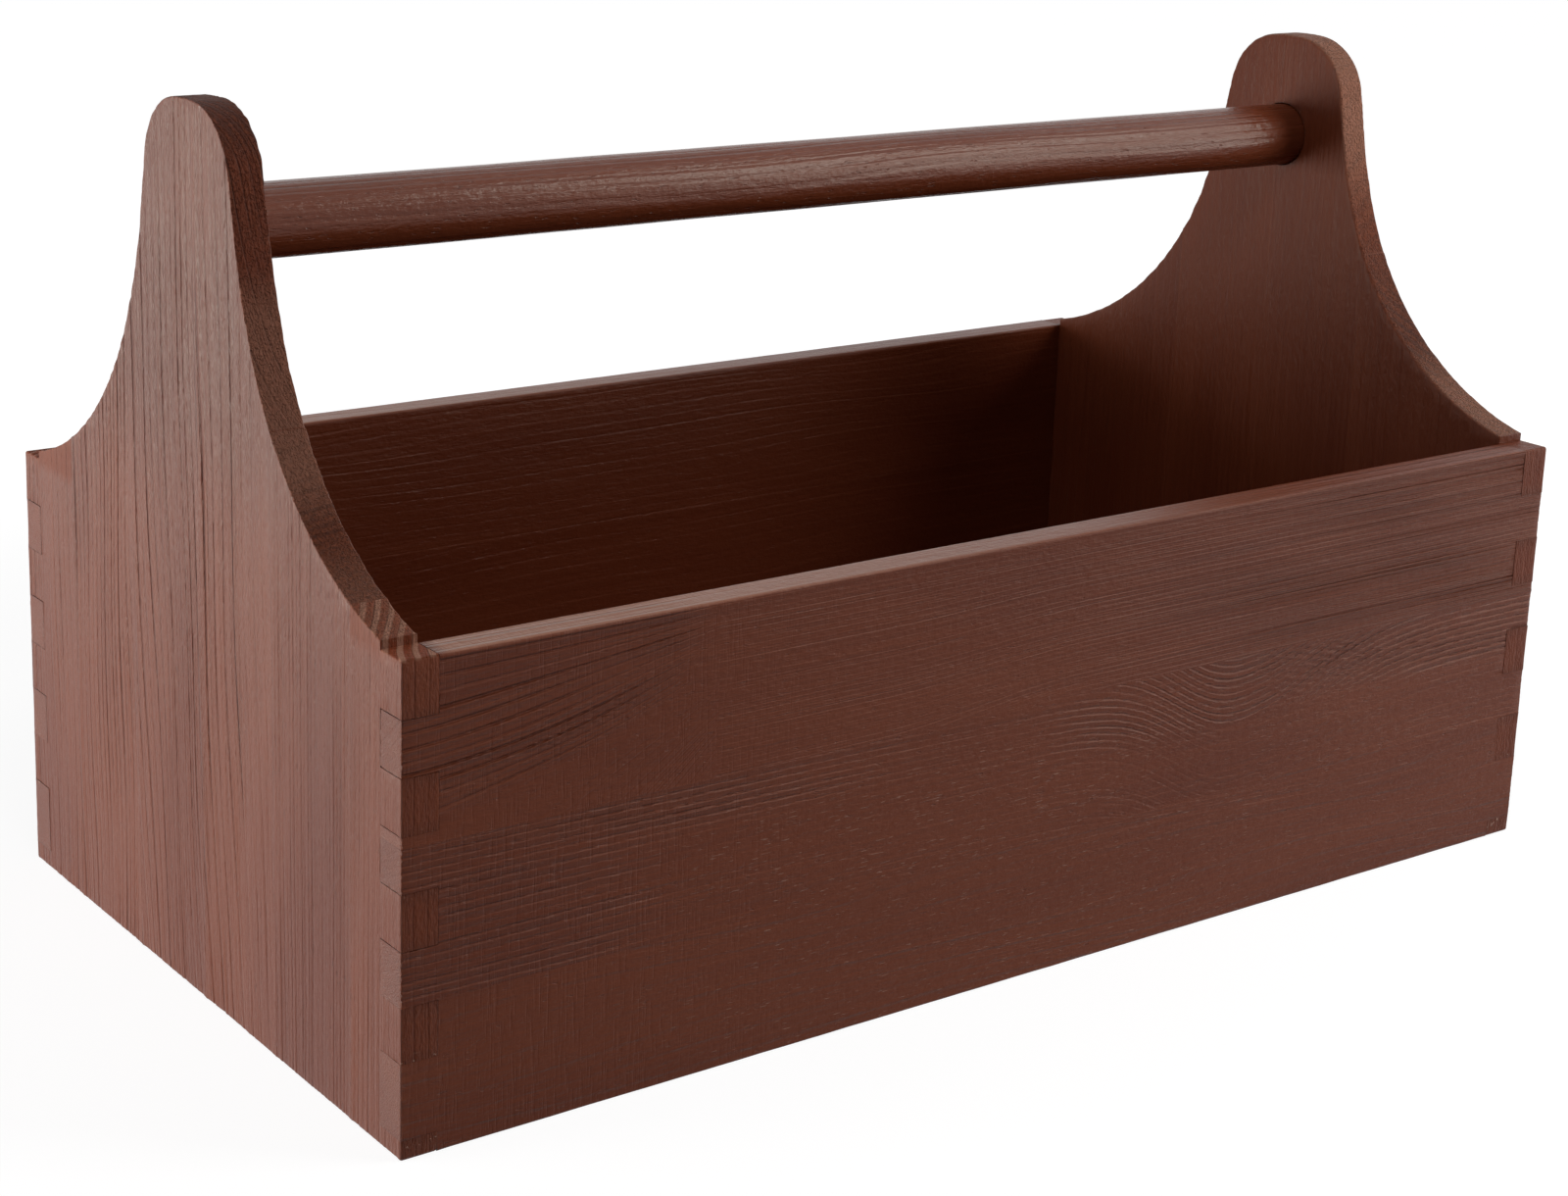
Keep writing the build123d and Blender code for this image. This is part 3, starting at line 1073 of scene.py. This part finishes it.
for side, name, grains in ((-1, "front_board", front_grains), (1, "back_board", back_grains)):
    for number, grain in enumerate(grains, 1):
        node = f"{name}_stave_{number}"
        below, above = (corner.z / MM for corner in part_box(node))
        face = (1, half_width, side)
        piece = plate(f"{node}_painted", board_stave_outline(below, above), board, face,
                      along_step, fine_step if side < 0 else across_step, wall_rows=8)
        apply_grain(piece, grain, (0, 2), face, borders=(below, above), tip_axis=0)
        if side > 0:
            # Painted shade on the back board's inside face
            inside = vertex_places(piece.data)[:, 1] < inner_half_width + 0.5
            keep(piece.data, "shade", 0.4 * inside)
        finish_piece(piece, node, "long_boards", across="board_tips")


# Bottom panel

panel_arris, panel_step_along, panel_step_across = 0.5, 8, 2.5
panel_face = (2, panel_high[2], 1)
panel = plate("bottom_panel_painted", rectangle_outline(panel_low, panel_high, panel_arris),
              panel_high[2] - panel_low[2], panel_face, panel_step_along, panel_step_across,
              wall_rows=2)
apply_grain(panel, Grain(51, 7.5, steady(0.6), lean=1.0, sway=4.0), (0, 1), panel_face,
            borders=(panel_low[1], panel_high[1]), tip_axis=0)
finish_piece(panel, "bottom_panel", "bottom_panel")


# Handle

def handle_piece():
    """A round rod with bevelled ends, slightly out of true along its length."""
    stations, bevel, play = 150, 1.0, 0.02
    reach = handle_high[0]
    lengths = [-reach, *np.linspace(-reach + bevel, reach - bevel, stations), reach]
    vertices = []
    for n, x in enumerate(lengths):
        is_end = n in (0, len(lengths) - 1)
        radius = handle_radius - play - (bevel if is_end else 0)
        for k in range(round_steps):
            angle = 2 * math.pi * k / round_steps
            wobble = 0.05 * (1 + math.sin(3 * angle + x / 70)) + 0.04 * (1 + math.sin(x / 31 + angle))
            out = radius - wobble
            vertices.append((x, out * math.cos(angle), handle_height + out * math.sin(angle)))
    name = "carrying_handle_painted"
    return new_object(name, new_mesh(name, vertices, tube_faces(len(lengths))))


handle = handle_piece()
apply_grain(handle, Grain(61, 3.4, steady(0.35), lean=0.5, sway=1.0, relief=0.06), (0, 1),
            (2, -handle_height, -1), borders=(-half_width, half_width), tip_axis=0)
finish_piece(handle, "carrying_handle", "handle")


# Studio

def for_eyes_and_mirrors(tree):
    """1 for what the camera sees directly, in a reflection or through glass, and 0 for light."""
    path = tree.nodes.new("ShaderNodeLightPath")
    seen = calc(tree, "ADD", path.outputs["Is Camera Ray"], path.outputs["Is Glossy Ray"])
    return calc(tree, "ADD", seen, path.outputs["Is Transmission Ray"], clamp=True)


window_colour = (1.0, 0.985, 0.88)  # of all lamps, a little warm; the floor's grey makes up for it


def floor_piece():
    """A pale floor that looks white where nothing shades it, and keeps the object's shadow."""
    half, grey = 12000.0, 0.2
    corners = [(-half, -half, 0), (half, -half, 0), (half, half, 0), (-half, half, 0)]
    mesh = new_mesh("studio_floor", corners, [(0, 1, 2, 3)])
    floor = new_object("studio_floor", mesh)
    material = bpy.data.materials.new("pale_floor")
    material.use_nodes = True
    tree = material.node_tree
    shader = tree.nodes["Principled BSDF"]
    shader.inputs["Base Color"].default_value = (*(grey / share for share in window_colour), 1)
    shader.inputs["Roughness"].default_value = 0.9
    shader.inputs["Specular IOR Level"].default_value = 0.0
    shader.inputs["Emission Color"].default_value = (1, 1, 1, 1)
    where = tree.nodes.new("ShaderNodeTexCoord").outputs["Object"]
    distance = tree.nodes.new("ShaderNodeVectorMath")
    distance.operation = "LENGTH"
    tree.links.new(where, distance.inputs[0])
    glow = between(tree, distance.outputs["Value"], 0.45, 0.9, 0.88, 1.0)
    tree.links.new(product(tree, glow, for_eyes_and_mirrors(tree)), shader.inputs["Emission Strength"])
    mesh.materials.append(material)


def softbox(name, place, aim, width, height, power):
    """A rectangular lamp at place that looks at aim, in metres and watts."""
    light = bpy.data.lights.new(name, "AREA")
    light.shape = "RECTANGLE"
    light.size, light.size_y = width, height
    light.energy = power
    light.color = window_colour
    lamp = new_object(name, light)
    lamp.location = place
    direction = Vector(aim) - Vector(place)
    lamp.rotation_euler = direction.to_track_quat("-Z", "Y").to_euler()


floor_piece()
softbox("window_left", (-1.2, 0.35, 0.15), (-0.2, 0.0, 0.08), 0.7, 0.3, 12)
softbox("left_front", (-1.3, -0.1, 0.5), (-0.2, 0.0, 0.15), 0.8, 0.8, 1.6)
softbox("front_left_high", (-0.5, -0.8, 1.3), (-0.1, 0.0, 0.2), 0.5, 0.5, 3.5)
softbox("front_right_high", (0.9, -0.9, 1.0), (0.2, 0.0, 0.15), 0.6, 0.6, 8.5)
softbox("front_right_low", (1.1, -0.95, 0.3), (0.25, 0.0, 0.10), 0.8, 0.4, 5.5)
softbox("right_high", (1.3, -0.3, 0.8), (0.2, 0.0, 0.15), 0.8, 0.8, 3)
softbox("top_soft", (0.0, 0.2, 1.8), (0.0, 0.0, 0.15), 1.4, 1.4, 3)

world = bpy.data.worlds.new("studio")
bpy.context.scene.world = world
world.use_nodes = True
world_tree = world.node_tree
backdrop = world_tree.nodes["Background"]
backdrop.inputs[0].default_value = (1, 1, 1, 1)
world_tree.links.new(for_eyes_and_mirrors(world_tree), backdrop.inputs[1])


def make_camera():
    """The camera that took the photograph."""
    data = bpy.data.cameras.new("camera")
    data.sensor_width = sensor_width
    data.lens = focal_pixels / image_width * sensor_width
    data.shift_x = (image_width / 2 - centre_pixel[0]) / image_width
    data.shift_y = (centre_pixel[1] - image_height / 2) / image_width
    camera = new_object("camera", data)
    forward, up = Vector(camera_forward).normalized(), Vector(camera_up).normalized()
    right = forward.cross(up).normalized()
    up = right.cross(forward)
    turn = Matrix((right, up, -forward)).transposed()
    camera.matrix_world = Matrix.Translation(camera_place) @ turn.to_4x4()
    bpy.context.scene.camera = camera


make_camera()
bpy.context.scene.view_settings.view_transform = "Standard"
